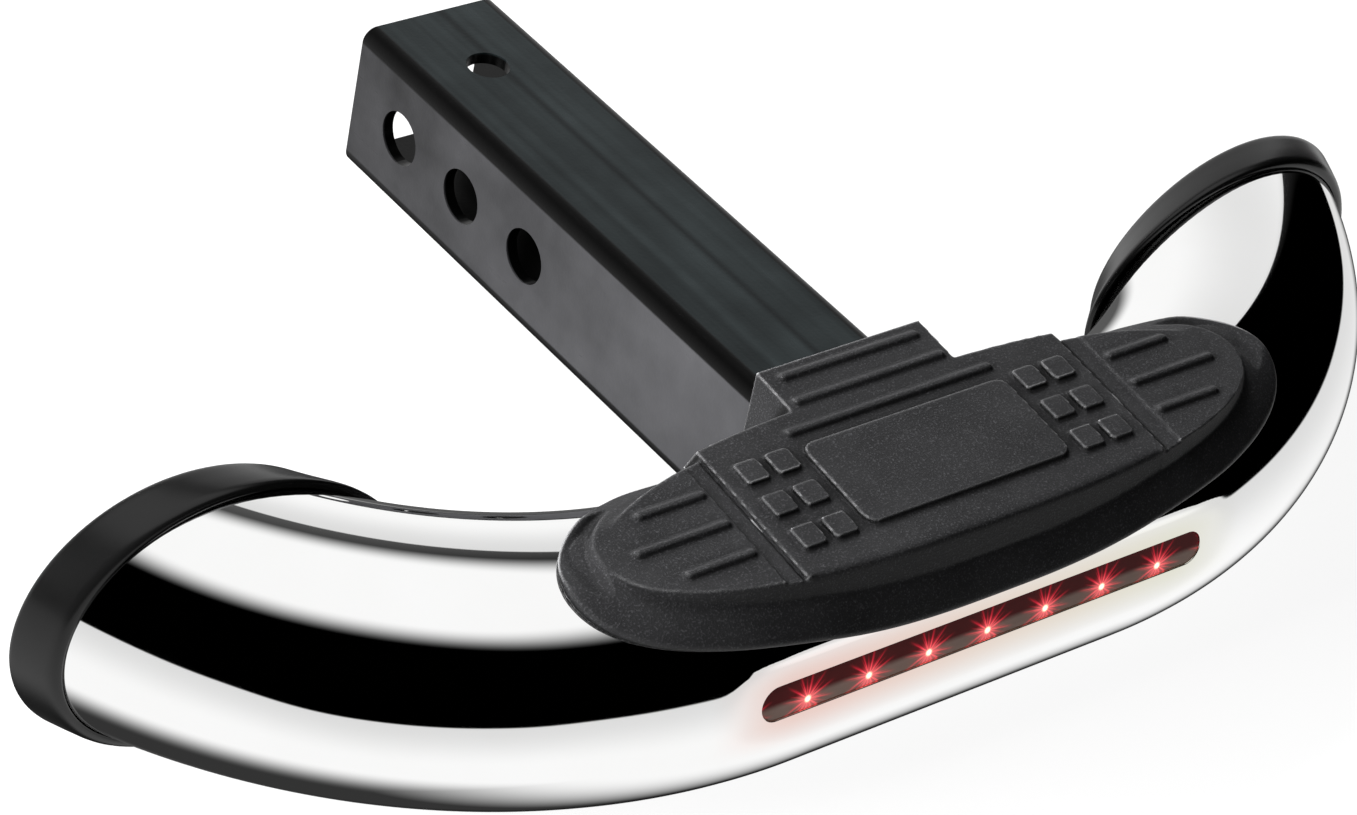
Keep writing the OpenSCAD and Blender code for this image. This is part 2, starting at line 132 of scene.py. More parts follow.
# The table is greyer towards the wall, and dark where the step stands in its own shade,
# though less so where light comes in from the right
near_wall = add(sky, "MapRange", {0: over_foot, 1: -0.2, 2: 0.0, 3: 1.0, 4: 0.76},
                interpolation_type="SMOOTHSTEP")
shade_side = add(sky, "VectorMath", {0: direction, 1: UNDER_STEP}, operation="DOT_PRODUCT")
shade = add(sky, "MapRange", {0: shade_side.outputs["Value"], 1: 0.66, 2: 0.95, 3: 1.0, 4: 0.035},
            interpolation_type="SMOOTHSTEP")
right_side = add(sky, "VectorMath", {0: direction, 1: RIGHT_FRONT}, operation="DOT_PRODUCT")
right_open = add(sky, "MapRange", {0: right_side.outputs["Value"], 1: -0.02, 2: 0.5, 3: 0.0, 4: 1.0},
                 interpolation_type="SMOOTHSTEP")
# The room's far corner is dark, which draws a thin line along the tube's outline
far_side = add(sky, "VectorMath", {0: direction, 1: FAR_CORNER}, operation="DOT_PRODUCT")
far_dark = add(sky, "MapRange", {0: far_side.outputs["Value"], 1: 0.88, 2: 0.97, 3: 1.0, 4: 0.04},
               interpolation_type="SMOOTHSTEP")
under = add(sky, "Math", {0: shade, 1: right_open}, operation="MAXIMUM")
under = add(sky, "Math", {0: under, 1: near_wall}, operation="MULTIPLY")
under = add(sky, "Math", {0: under, 1: far_dark}, operation="MULTIPLY")
table_light = add(sky, "Math", {0: table_edge, 1: under}, operation="MULTIPLY")
# Behind the step the wall is grey instead of black
behind = add(sky, "MapRange", {0: toward.outputs[1], 1: 0.35, 2: 0.6, 3: 0.0, 4: 0.1})
wall_light = add(sky, "Math", {0: ceiling_edge, 1: behind}, operation="MAXIMUM")
mirrored_light = add(sky, "Math", {0: table_light, 1: wall_light}, operation="MAXIMUM")
ray = add(sky, "LightPath")
clear_view = add(sky, "Math", {0: ray.outputs["Is Camera Ray"], 1: ray.outputs["Is Transmission Ray"]},
                 operation="MAXIMUM")
even = add(sky, "Background", {0: (1, 1, 1, 1), 1: 0.08})
mirrored = add(sky, "Background", {0: (1, 1, 1, 1), 1: mirrored_light})
seen = add(sky, "Background", {0: (1, 1, 1, 1), 1: 1.0})
by_gloss = add(sky, "MixShader", {0: ray.outputs["Is Glossy Ray"], 1: even, 2: mirrored})
by_view = add(sky, "MixShader", {0: clear_view, 1: by_gloss, 2: seen})
add(sky, "OutputWorld", {0: by_view})

# Two square area lamps: place, aim, size and power
for name, place, aim, size, power in (
    ("ceiling_light", (-0.15, 0.95, 1.15), (0, -0.2, 0), 0.6, 52.0),
    ("left_light", (-0.8, -0.12, 0.3), (0, -0.12, 0), 0.4, 22.0),
):
    light = bpy.data.lights.new(name, "AREA")
    light.size, light.energy = size, power
    lamp = bpy.data.objects.new(name, light)
    lamp.location = place
    lamp.rotation_euler = (Vector(aim) - Vector(place)).to_track_quat("-Z", "Y").to_euler()
    lamp.visible_glossy = False
    bpy.context.scene.collection.objects.link(lamp)


# Floor: matt white card that the step stands on. The camera sees it near white, and it
# keeps the step's soft shadow.
FLOOR_GAP, FLOOR_HALF = 0.2, 6000


def solid(name, points, faces, smooth=True):
    """A mesh object in the row frame, from points in millimetres."""
    mesh = bpy.data.meshes.new(name)
    mesh.from_pydata((np.asarray(points, float) / 1000).tolist(), [], [list(map(int, f)) for f in faces])
    if smooth:
        mesh.shade_smooth()
    else:
        mesh.shade_flat()
    made = bpy.data.objects.new(name, mesh)
    bpy.context.scene.collection.objects.link(made)
    return made


def finish_of(name):
    """A new material, with its node tree and its surface shader."""
    material = bpy.data.materials.new(name)
    material.use_nodes = True
    return material, material.node_tree, material.node_tree.nodes["Principled BSDF"]


floor_z = cad_low.z * 1000 - FLOOR_GAP
floor_corners = [(x * FLOOR_HALF, y * FLOOR_HALF, floor_z) for x, y in ((-1, -1), (1, -1), (1, 1), (-1, 1))]
floor = solid("floor", floor_corners, [(0, 1, 2, 3)], smooth=False)
# Matt card mirrors nothing. It glows for the camera alone, which sees it near white although
# it throws little light up at the step.
white_card, tree, shader = finish_of("white card")
shader.inputs["Base Color"].default_value = linear("#5e5e5e")
shader.inputs["Roughness"].default_value = 0.9
shader.inputs["Specular IOR Level"].default_value = 0.0
ray = add(tree, "LightPath")
tree.links.new(ray.outputs["Is Camera Ray"], shader.inputs["Emission Strength"])
shader.inputs["Emission Color"].default_value = (0.91, 0.91, 0.91, 1)
floor.data.materials.append(white_card)
floor.visible_glossy = False


# Shank: a 2 inch square tube of welded steel, cross-drilled for the hitch pin and coped to
# the bar. It is powder coated black, and its weld to the bar with it.

# In millimetres: half the tube's width, its corners' radius, and how far the seam lies off middle
SHANK_HALF, SHANK_CORNER, SEAM_SIDE = 25.4, 4.7, 3.5


def dress(nodes, material):
    """Gives CAD nodes their finish."""
    for node in nodes:
        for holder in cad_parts[node].material_slots:
            holder.material = material


# The coat is satin and clouded, with painted shade on its corners and painted light on its sides
powder_coat, tree, shader = finish_of("satin black powder coat")
here = add(tree, "TexCoord").outputs["Object"]
place = add(tree, "SeparateXYZ", {0: here})
# Clouds 35 mm across, crossed by draw lines that run along the tube, 5 mm apart
cloud = add(tree, "TexNoise", {"Vector": here, "Scale": 1 / 0.035, "Detail": 5.0, "Roughness": 0.6})
stretched = add(tree, "Mapping", {0: here, 3: (1 / 0.005, 1 / 0.3, 1 / 0.005)})
lines = add(tree, "TexNoise", {"Vector": stretched, "Scale": 1.0, "Detail": 3.0})
mottle = add(tree, "Math", {0: cloud.outputs[0], 1: lines.outputs[0]}, operation="MULTIPLY")
# The top is painted darker as the less lit face, with the tube's weld seam along it as a soft streak
top_mottle = add(tree, "MapRange", {0: mottle, 1: 0.1, 2: 0.42, 3: 0.0, 4: 1.0})
top_tone = add(tree, "MixRGB", {0: top_mottle, 1: linear("#080c0d"), 2: linear("#1a1f20")})
from_seam = add(tree, "Math", {0: place.outputs[0], 1: SEAM_SIDE / 1000}, operation="SUBTRACT")
from_seam = add(tree, "Math", {0: from_seam}, operation="ABSOLUTE")
seam = add(tree, "MapRange", {0: from_seam, 1: 0.0, 2: 0.0022, 3: 0.75, 4: 0.0},
           interpolation_type="SMOOTHSTEP")
top_tone = add(tree, "MixRGB", {0: seam, 1: top_tone, 2: linear("#030506")})
# Painted light: the sides are lighter, as if lit and mirroring the white table, more so towards the bar
side_light = add(tree, "MapRange", {0: place.outputs[1], 1: 0.03, 2: -0.15, 3: -0.1, 4: 0.45})
side_light = add(tree, "Math", {0: cloud.outputs[0], 1: side_light}, operation="ADD")
side_light = add(tree, "MapRange", {0: side_light, 1: 0.2, 2: 1.1, 3: 0.0, 4: 1.0})
lit_side = add(tree, "MixRGB", {0: side_light, 1: linear("#101011"), 2: linear("#3d3d3f")})
half = SHANK_HALF / 1000
on_top = add(tree, "MapRange", {0: place.outputs[2], 1: half - 0.0016, 2: half - 0.0004, 3: 0.0, 4: 1.0})
tone = add(tree, "MixRGB", {0: on_top, 1: lit_side, 2: top_tone})
# Painted shade: the rolled corners, as the dark that they mirror, and the tube's inside are painted near
# black
# A corner is where both the width and the height near the tube's outside
reach_x = add(tree, "Math", {0: place.outputs[0]}, operation="ABSOLUTE")
reach_z = add(tree, "Math", {0: place.outputs[2]}, operation="ABSOLUTE")
least = add(tree, "Math", {0: reach_x, 1: reach_z}, operation="MINIMUM")
most = add(tree, "Math", {0: reach_x, 1: reach_z}, operation="MAXIMUM")
corner = add(tree, "MapRange", {0: least, 1: half - 0.0056, 2: half - 0.0046, 3: 0.0, 4: 1.0},
             interpolation_type="SMOOTHSTEP")
inside = add(tree, "MapRange", {0: most, 1: half - 0.0008, 2: half - 0.0002, 3: 1.0, 4: 0.0})
dark = add(tree, "Math", {0: corner, 1: inside}, operation="MAXIMUM")
tone = add(tree, "MixRGB", {0: dark, 1: tone, 2: linear("#020202")})
tree.links.new(tone.outputs[0], shader.inputs["Base Color"])
shader.inputs["IOR"].default_value = 1.5
shader.inputs["Specular IOR Level"].default_value = 0.12
rough = add(tree, "MapRange", {0: mottle, 1: 0.1, 2: 0.42, 3: 0.36, 4: 0.26})
tree.links.new(rough.outputs[0], shader.inputs["Roughness"])
# Orange peel about 1.2 mm across
peel = add(tree, "TexNoise", {"Vector": here, "Scale": 1 / 0.0012, "Detail": 2.0})
bump = add(tree, "Bump", {"Height": peel, "Strength": 0.15, "Distance": 0.0002})
tree.links.new(bump.outputs[0], shader.inputs["Normal"])
dress(["shank_tube"], powder_coat)


# Bar: one 82 mm steel tube, bent at both sides and pressed to a shallow flat that
# holds the lamp, then slotted, polished and chrome plated.

# In millimetres: the tube's outer radius and wall, half its straight run, the bends' radius,
# and how far behind the middle's axis its ends are cut
TUBE, WALL, MIDDLE, BEND, CUT = 41.0, 2.0, 61.0, 163.0, 77.5
AXIS_BACK, AXIS_DOWN = -225.8, -11.2
# The lamp's tilt, the flat's distance from the axis, the slot, and where the flat runs out
LAMP_TILT, FLAT, SLOT_HALF, SLOT_H, SLOT_LIP = math.radians(9.5), 37.9, 83.0, 11.0, 0.3
FLAT_END, FLAT_TOP, FLAT_FOOT = 99, 15, -24
LAMP_UP = np.array([0, math.sin(LAMP_TILT), math.cos(LAMP_TILT)])
LAMP_OUT = np.array([0, -math.cos(LAMP_TILT), math.sin(LAMP_TILT)])


def to_row(points):
    """From the bar's frame, which starts at its middle axis, to the row's frame."""
    return np.asarray(points, float) + np.array([0, AXIS_BACK, AXIS_DOWN])


def ease(t):
    """A soft step from nought to one, as t goes from nought to one."""
    t = np.clip(t, 0, 1)
    return t * t * (3 - 2 * t)


def round_tube(s, a, r):
    """Points of a rod of radius r along the bar: s runs along its axis, a round it from the front."""
    turn = np.maximum(np.abs(s) - MIDDLE, 0) / BEND
    side = np.sign(s)
    out = BEND + r * np.cos(a)
    straight = np.clip(s, -MIDDLE, MIDDLE)
    return np.stack([straight + side * out * np.sin(turn), BEND - out * np.cos(turn), r * np.sin(a)], -1)


def pressed_tube(s, a):
    """The same with the lamp's flat pressed into it, its edges eased."""
    p = round_tube(s, a, TUBE)
    up, out, x = p @ LAMP_UP, p @ LAMP_OUT, np.abs(p[..., 0])
    over = out - FLAT
    # The root term rounds the edge where the flat meets the tube
    depth = (over + np.sqrt(over ** 2 + 0.5)) / 2
    reach = ease((FLAT_END - x) / 12) * ease((FLAT_TOP - up) / 3) * ease((up - FLAT_FOOT) / 6) * (out > 0)
    return p - (depth * reach)[..., None] * LAMP_OUT


def skin_normal(s, a):
    """Which way the pressed skin faces, from steps of 0.02 mm to each side."""
    step = 0.02
    facing = np.cross(pressed_tube(s + step, a) - pressed_tube(s - step, a),
                      pressed_tube(s, a + step / TUBE) - pressed_tube(s, a - step / TUBE))
    return facing / np.linalg.norm(facing, axis=-1, keepdims=True)


def stadium(half, height):
    """A long slot's outline, anticlockwise, with 22 points round each end and 90 on each side."""
    r, turn = height / 2, np.linspace(-90, 90, 22) * math.pi / 180
    right = np.stack([half - r + r * np.cos(turn), r * np.sin(turn)], -1)
    flat = np.linspace(half - r, -(half - r), 92)[1:-1]
    top = np.stack([flat, np.full_like(flat, r)], -1)
    return np.vstack([right, top, -right, -top])


def slot_on_tube(outline):
    """Where each point of an outline, drawn on the lamp's flat, lies in s and a."""
    found = []
    for x, up in outline:
        out = math.sqrt(TUBE ** 2 - up ** 2)
        # Twelve steps along the flat's own direction are enough to reach the skin
        for _ in range(12):
            p = np.array([x, 0, 0]) + up * LAMP_UP + out * LAMP_OUT
            turn = math.atan2(max(abs(p[0]) - MIDDLE, 0), BEND - p[1])
            gap = (BEND - p[1] if turn == 0 else math.hypot(abs(p[0]) - MIDDLE, BEND - p[1])) - BEND
            out += TUBE - math.hypot(gap, p[2])
        s = p[0] if turn == 0 else math.copysign(MIDDLE + BEND * turn, p[0])
        found.append((s, math.atan2(p[2], gap)))
    return np.array(found)


# A grid over the skin, fine where the flat is: places along the bar, then angles round it
FINE_REACH, FINE_STEP, END_STEPS, FRONT_ROWS, BACK_ROWS = 110, 1.6, 46, 34, 76
FRONT_LOW, FRONT_HIGH = LAMP_TILT - 0.72, LAMP_TILT + 0.46
fine_s = np.arange(-FINE_REACH, FINE_REACH + 0.1, FINE_STEP)
rows = np.concatenate([np.linspace(FRONT_LOW, FRONT_HIGH, FRONT_ROWS),
                       np.linspace(FRONT_HIGH, FRONT_LOW + 2 * math.pi, BACK_ROWS)[1:-1]])
turn_end = np.arccos((BEND - CUT) / (BEND + TUBE * np.cos(rows)))
s_end = MIDDLE + BEND * turn_end
share = np.linspace(0, 1, END_STEPS + 1)[1:, None]
right = fine_s[-1] + share * (s_end[None, :] - fine_s[-1])
grid_s = np.vstack([-right[::-1], np.repeat(fine_s[:, None], len(rows), 1), right])
grid_a = np.repeat(rows[None, :], len(grid_s), 0)
columns, around = grid_s.shape

# Rings of points round the slot, from the patch's inner edge in to the slot's lip
rings = [slot_on_tube(stadium(SLOT_HALF + SLOT_LIP + gap, SLOT_H + 2 * (SLOT_LIP + gap)))
         for gap in (2.4, 1.6, 1.0, 0.6, 0.3, 0.12, 0)]
mouth = rings[0]
mouth_ends = [mouth[:, 0].min() - 2, mouth[:, 0].max() + 2]
low_col, high_col = np.searchsorted(fine_s, mouth_ends) + END_STEPS
high_col += 1
low_row = np.searchsorted(rows[:FRONT_ROWS], mouth[:, 1].min() - 0.04)
high_row = np.searchsorted(rows[:FRONT_ROWS], mouth[:, 1].max() + 0.04)

skin = np.stack([grid_s.ravel(), grid_a.ravel()], -1)
faces = []
for i in range(columns - 1):
    for j in range(around):
        if low_col <= i < high_col and low_row <= j < high_row:
            continue
        k = (j + 1) % around
        faces.append((i * around + j, (i + 1) * around + j, (i + 1) * around + k, i * around + k))

# The patch round the slot is triangulated between the grid and the outermost ring. Grid points
# less than 0.7 mm from that ring are left out.
patch = [i * around + j for i in range(low_col, high_col + 1) for j in range(low_row, high_row + 1)]
flat_mouth = mouth * [1, TUBE]
kept = []
for index in patch:
    i, j = divmod(index, around)
    on_rim = i in (low_col, high_col) or j in (low_row, high_row)
    if on_rim or np.hypot(*(flat_mouth - skin[index] * [1, TUBE]).T).min() > 0.7:
        kept.append(index)
mouth_first, ring_size = len(skin), len(mouth)
skin = np.vstack([skin] + rings)
numbers = kept + list(range(mouth_first, mouth_first + ring_size))
flat_points = [tuple(skin[n] * [1, TUBE]) for n in numbers]
edges = [(len(kept) + c, len(kept) + (c + 1) % ring_size) for c in range(ring_size)]
made_points, _, made_faces, origin, _, _ = delaunay_2d_cdt(flat_points, edges, [], 0, 1e-6)


def inside_mouth(x, y):
    """Whether a flat point lies inside the slot's mouth."""
    a, b = flat_mouth, np.roll(flat_mouth, -1, 0)
    crosses = ((a[:, 1] > y) != (b[:, 1] > y)) & (
        x < (b[:, 0] - a[:, 0]) * (y - a[:, 1]) / (b[:, 1] - a[:, 1] + 1e-12) + a[:, 0])
    return crosses.sum() % 2 == 1


for f in made_faces:
    if not inside_mouth(*np.mean([made_points[v] for v in f], 0)):
        faces.append(tuple(numbers[origin[v][0]] for v in f))


def band(first, second):
    """Faces between two rings round the slot, the outer one first."""
    return [(first + c, first + (c + 1) % ring_size, second + (c + 1) % ring_size, second + c)
            for c in range(ring_size)]


for k in range(len(rings) - 1):
    faces += band(mouth_first + k * ring_size, mouth_first + (k + 1) * ring_size)
rim_first = mouth_first + (len(rings) - 1) * ring_size

# The inside is the outside moved in by the wall, and the two are joined at the cut ends
outer = pressed_tube(skin[:, 0], skin[:, 1])
normal = skin_normal(skin[:, 0], skin[:, 1])
count = len(skin)
points = [outer, outer - WALL * normal]
normals = [normal, np.zeros_like(normal)]
faces += [tuple(v + count for v in f[::-1]) for f in faces]
for j in range(around):
    k = (j + 1) % around
    faces.append((j, k, k + count, j + count))
    last = (columns - 1) * around
    faces.append((last + k, last + j, last + j + count, last + k + count))

# The slot's lip turns in by a small round, then runs down the wall's own thickness
wide_edge = stadium(SLOT_HALF + SLOT_LIP, SLOT_H + 2 * SLOT_LIP)
tight_edge = stadium(SLOT_HALF, SLOT_H)
inward = (tight_edge - wide_edge)[:, :1] * [1, 0, 0] + (tight_edge - wide_edge)[:, 1:] * LAMP_UP
inward /= np.linalg.norm(inward, axis=1, keepdims=True)
above, start = rim_first, 2 * count
lip_steps = [(t, SLOT_LIP * (1 - math.cos(t))) for t in (0.4, 0.8, 1.2, math.pi / 2)]
for turn, drop in lip_steps + [(math.pi / 2, WALL)]:
    points.append(outer[rim_first:] + SLOT_LIP * math.sin(turn) * inward - drop * LAMP_OUT)
    normals.append(math.cos(turn) * LAMP_OUT + math.sin(turn) * inward)
    faces += band(above, start)
    above, start = start, start + ring_size
faces += band(above, rim_first + count)
points, normals = np.vstack(points), np.vstack(normals)
used = np.unique(np.concatenate([np.ravel(f) for f in faces]))
renumber = np.full(len(points), -1)
renumber[used] = np.arange(len(used))
bar = solid("chrome_bar", to_row(points[used]), [[renumber[v] for v in f] for f in faces])
bar.data.normals_split_custom_set_from_vertices(normals[used].tolist())


def lamp_place(tree):
    """The place on the lamp's flat that a point has, in millimetres: along the row, and up."""
    here = add(tree, "TexCoord").outputs["Object"]
    middle = tuple(to_row([[0, 0, 0]])[0] / 1000)
    offset = add(tree, "VectorMath", {0: here, 1: middle}, operation="SUBTRACT")
    up = add(tree, "VectorMath", {0: offset, 1: tuple(LAMP_UP * 1000)}, operation="DOT_PRODUCT")
    along = add(tree, "VectorMath", {0: offset, 1: (1000.0, 0.0, 0.0)}, operation="DOT_PRODUCT")
    return along.outputs["Value"], up.outputs["Value"]


# Chrome shows the room as a nearly clean mirror. A faint haze in the polish, 30 mm across, keeps
# the edges of what it mirrors from being perfect.
chrome, tree, shader = finish_of("chrome plate")
here = add(tree, "TexCoord").outputs["Object"]
shader.inputs["Metallic"].default_value = 1.0
haze = add(tree, "TexNoise", {"Vector": here, "Scale": 1 / 0.03, "Detail": 4.0})
tone = add(tree, "MixRGB", {0: haze, 1: linear("#f6f6f5"), 2: linear("#fbfbfb")})
# Painted light: the plating round the lamp is tinted pink and cream, as if lit by its red glow
along, up = lamp_place(tree)
off_row = add(tree, "Math", {0: up}, operation="ABSOLUTE")
beside = add(tree, "MapRange", {0: off_row, 1: 5.0, 2: 17.0, 3: 1.0, 4: 0.0},
             interpolation_type="SMOOTHSTEP")
off_middle = add(tree, "Math", {0: along}, operation="ABSOLUTE")
ends = add(tree, "MapRange", {0: off_middle, 1: 70.0, 2: 102.0, 3: 1.0, 4: 0.0},
           interpolation_type="SMOOTHSTEP")
lamp_glow = add(tree, "Math", {0: beside, 1: ends}, operation="MULTIPLY")
warm = add(tree, "MapRange", {0: along, 1: -60.0, 2: 70.0, 3: 0.0, 4: 1.0})
lamp_glow_tone = add(tree, "MixRGB", {0: warm, 1: linear("#f3d6cd"), 2: linear("#ecebdc")})
tone = add(tree, "MixRGB", {0: lamp_glow, 1: tone, 2: lamp_glow_tone})
tree.links.new(tone.outputs[0], shader.inputs["Base Color"])
rough = add(tree, "MapRange", {0: haze, 3: 0.02, 4: 0.05})
tree.links.new(rough.outputs[0], shader.inputs["Roughness"])
bar.data.materials.append(chrome)
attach(bar, "root")
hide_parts("step_bar")
dress(["step_bar"], chrome)


# Weld: a fillet all round the coped joint, laid by hand in small overlapping puddles
# and coated with the shank.

# In millimetres: the fillet's leg, how far its foot stands off the steel, and the ripple's
# height, then how many puddles and how many points go round the joint
LEG, STAND_OFF, RIPPLE, PUDDLES, STOPS = 3.6, 0.25, 0.22, 86, 520
outline, facing = [], []
for quarter in range(4):
    mid = math.pi / 2 * quarter
    for turn in np.linspace(0, math.pi / 2, 14):
        round_off = SHANK_CORNER * np.array([math.cos(turn), math.sin(turn)])
        x, z = np.array([SHANK_HALF - SHANK_CORNER, SHANK_HALF - SHANK_CORNER]) + round_off
        outline.append((x * math.cos(mid) - z * math.sin(mid), x * math.sin(mid) + z * math.cos(mid)))
        facing.append(turn + mid)
outline, facing = np.array(outline + outline[:1]), np.array(facing + [facing[0] + 2 * math.pi])
run = np.r_[0, np.cumsum(np.hypot(*np.diff(outline, axis=0).T))]
along = np.linspace(0, run[-1], STOPS, endpoint=False)
foot = np.stack([np.interp(along, run, outline[:, k]) for k in (0, 1)], -1)
turn = np.interp(along, run, facing)
# Each line runs round the joint, the first one out on the bar and the last one on the shank
bead = []
for t in np.linspace(0, 1, 8):
    ripple = RIPPLE * np.sin(2 * math.pi * (along / (run[-1] / PUDDLES) + 0.5 * (t - 0.5) ** 2 * 4))
    wide = LEG * (1 - t) + STAND_OFF
    x = foot[:, 0] + np.cos(turn) * wide
    z = foot[:, 1] + np.sin(turn) * wide - AXIS_DOWN
    y = np.sqrt(np.maximum((TUBE + STAND_OFF) ** 2 - z ** 2, 0))
    swell = LEG * t + (0.5 + ripple) * math.sin(math.pi * t)
    bead.append(np.stack([x + 0.4 * np.cos(turn) * math.sin(math.pi * t), y + swell, z], -1))
# One more line closes the bead down in the joint
bead.append(np.stack([foot[:, 0] + STAND_OFF * np.cos(turn), bead[-1][:, 1] - LEG,
                      foot[:, 1] - AXIS_DOWN + STAND_OFF * np.sin(turn)], -1))
wraps = len(bead)
faces = [(k * STOPS + i, (k + 1) % wraps * STOPS + i,
          (k + 1) % wraps * STOPS + (i + 1) % STOPS, k * STOPS + (i + 1) % STOPS)
         for k in range(wraps) for i in range(STOPS)]
weld = solid("weld", to_row(np.vstack(bead)), faces)
weld.data.materials.append(powder_coat)
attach(weld, "root")
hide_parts("weld_bead")
dress(["weld_bead"], powder_coat)


# End caps: moulded in glossy black plastic and pushed on to the tube's square-cut ends.
# Each has a band over the tube, with rounded edges, and a flat back.

# Glossy black plastic stays deep black but for soft glints of the white room, and the mould
# leaves faint clouds on it, 20 mm across
cap_plastic, tree, shader = finish_of("glossy black moulded plastic")
here = add(tree, "TexCoord").outputs["Object"]
cloud = add(tree, "TexNoise", {"Vector": here, "Scale": 1 / 0.02, "Detail": 3.0})
tone = add(tree, "MixRGB", {0: cloud, 1: linear("#070707"), 2: linear("#0d0d0d")})
tree.links.new(tone.outputs[0], shader.inputs["Base Color"])
rough = add(tree, "MapRange", {0: cloud, 3: 0.2, 4: 0.3})
tree.links.new(rough.outputs[0], shader.inputs["Roughness"])
shader.inputs["IOR"].default_value = 1.49
shader.inputs["Specular IOR Level"].default_value = 0.35

# The cap's section, from inside the band, round its edges and across the back, as the distance
# from the tube's axis and the distance behind the bar's middle axis
BACK_OUT, BACK_IN, EDGE_ROUND = (3, 80.1), (3, 77.3), 2.0
profile = [(41.15, 77.3), (41.15, 66.7), (41.4, 66.3), (42.0, 66.2), (43.0, 66.4), (43.6, 67.0)]
profile += [(43.9, 67.9), (44.0, 69.0), (44.0, 73.5), (44.0, 76.8)]
profile += [(44 - EDGE_ROUND * (1 - math.cos(t)), 78.1 + EDGE_ROUND * math.sin(t))
            for t in np.linspace(0, math.pi / 2, 7)]
profile += [(38, 80.1), (30, 80.1), (20, 80.1), (10, 80.1), BACK_OUT, BACK_IN, (20, 77.3), (34, 77.3)]
spin = np.linspace(0, 2 * math.pi, 192, endpoint=False)
for name, node, side in (("left_cap", "left_end_cap", -1), ("right_cap", "right_end_cap", 1)):
    hoops = []
    for r, back in profile:
        swing = np.arccos((BEND - back) / (BEND + r * np.cos(spin)))
        hoops.append(np.stack([side * (MIDDLE + (BEND + r * np.cos(spin)) * np.sin(swing)),
                               np.full_like(spin, back), r * np.sin(spin)], -1))
    loops, stops = len(hoops), len(spin)
    faces = [(k * stops + i, k * stops + (i + 1) % stops,
              (k + 1) % loops * stops + (i + 1) % stops, (k + 1) % loops * stops + i)
             for k in range(loops) for i in range(stops)]
    # The middle of the back is closed by a small disc on each face
    last_out, last_in = profile.index(BACK_OUT), profile.index(BACK_IN)
    faces = [f for f in faces if f[0] // stops != last_out]
    faces.append(tuple(last_out * stops + i for i in range(stops)))
    faces.append(tuple(last_in * stops + i for i in range(stops))[::-1])
    if side > 0:
        faces = [f[::-1] for f in faces]
    cap = solid(name, to_row(np.vstack(hoops)), faces)
    cap.data.materials.append(cap_plastic)
    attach(cap, "root")
    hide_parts(node)
    dress([node], cap_plastic)


# Tread pad: one moulding in grained charcoal plastic that wraps the bar and saddles the
# shank, held by push-in clips. Its ribs, blocks and steps come from the mould well rounded.

# In millimetres: the oval of the skirt's edge, seen from above, and how far forward it lies
PAD_HALF, PAD_HALF_W, PAD_FWD, PAD_POWER = 131.0, 34.5, 2.6, 2.85
# The sloping top, the radii of the skirt's two sides, and its rounded lip
PAD_TOP, PAD_TILT, SEAT, SKIRT, LIP = 43.0, math.radians(6), 41.25, 44.2, 1.5
UNDER_TOP, INTO_SEAT = 1.1, 0.2
# The ovals of the end plateaus and of the deck between them
PLATEAU_HALF, PLATEAU_HALF_W, PLATEAU_POWER = 117.5, 28, 2.8
DECK_HALF, DECK_HALF_W, DECK_POWER = 123, 29.6, 2.6


def pad_plane(y):
    """The height of the pad's sloping top, y behind the bar's axis."""
    return PAD_TOP + y * math.tan(PAD_TILT)


# The skirt's edge, as its place along the bar and round it, and the spine that it closes on
turn = np.linspace(0, 2 * math.pi, 300, endpoint=False)
plan_x = PAD_HALF * np.sign(np.cos(turn)) * np.abs(np.cos(turn)) ** (2 / PAD_POWER)
plan_y = PAD_HALF_W * np.sin(turn) - PAD_FWD
swing = np.arctan2(np.maximum(np.abs(plan_x) - MIDDLE, 0), BEND - plan_y)
off_axis = np.where(swing > 0, np.hypot(np.abs(plan_x) - MIDDLE, BEND - plan_y), BEND - plan_y) - BEND
edge_s = np.where(swing > 0, np.sign(plan_x) * (MIDDLE + BEND * swing), plan_x)
edge_a = np.arctan2(np.sqrt(SEAT ** 2 - off_axis ** 2), off_axis)
edge = np.stack([edge_s, edge_a * SEAT], -1)
ahead = np.roll(edge, -1, 0) - np.roll(edge, 1, 0)
inward = np.stack([-ahead[:, 1], ahead[:, 0]], -1) / np.hypot(*ahead.T)[:, None]
inward *= np.sign(((edge.mean(0) - edge) * inward).sum(1))[:, None]
spine = np.stack([edge[:, 0] * 0.9, np.full(len(edge), edge[:, 1].mean())], -1)
hoops = []
for t in np.linspace(0, math.pi / 2, 7):
    away = edge + inward * LIP * (1 - math.cos(t))
    lift = (SKIRT - SEAT) * (0.35 + 0.65 * math.sin(t))
    hoops.append(round_tube(away[:, 0], away[:, 1] / SEAT, SEAT + lift))
start = edge + inward * LIP
for share in np.linspace(0, 1, 26)[1:]:
    away = start + (spine - start) * share
    hoops.append(round_tube(away[:, 0], away[:, 1] / SEAT, SKIRT))
# The skirt stays under the moulding's top, and its underside lies a little nearer to the bar
# than the moulding's own, so that no thin gap is left between them
for hoop in hoops:
    hoop[:, 2] = np.minimum(hoop[:, 2], pad_plane(hoop[:, 1]) - UNDER_TOP)
for share in np.linspace(1, 0, 26):
    away = edge + (spine - edge) * share
    hoops.append(round_tube(away[:, 0], away[:, 1] / SEAT, SEAT - INTO_SEAT * min(1, 3 * share)))
loops, stops = len(hoops), len(edge)
faces = [(k * stops + i, (k + 1) % loops * stops + i,
          (k + 1) % loops * stops + (i + 1) % stops, k * stops + (i + 1) % stops)
         for k in range(loops) for i in range(stops)]
skirt = solid("skirt", to_row(np.vstack(hoops)), faces)

# The CAD moulding and the skirt are made one skin of small cells, then eased
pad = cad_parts["step_pad"].copy()
pad.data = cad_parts["step_pad"].data.copy()
pad.name = pad.data.name = "tread_pad"
for key in list(pad.keys()):
    del pad[key]
pad.parent = None
bpy.context.scene.collection.objects.link(pad)
with bpy.context.temp_override(active_object=pad, selected_editable_objects=[pad, skirt], object=pad):
    bpy.ops.object.join()


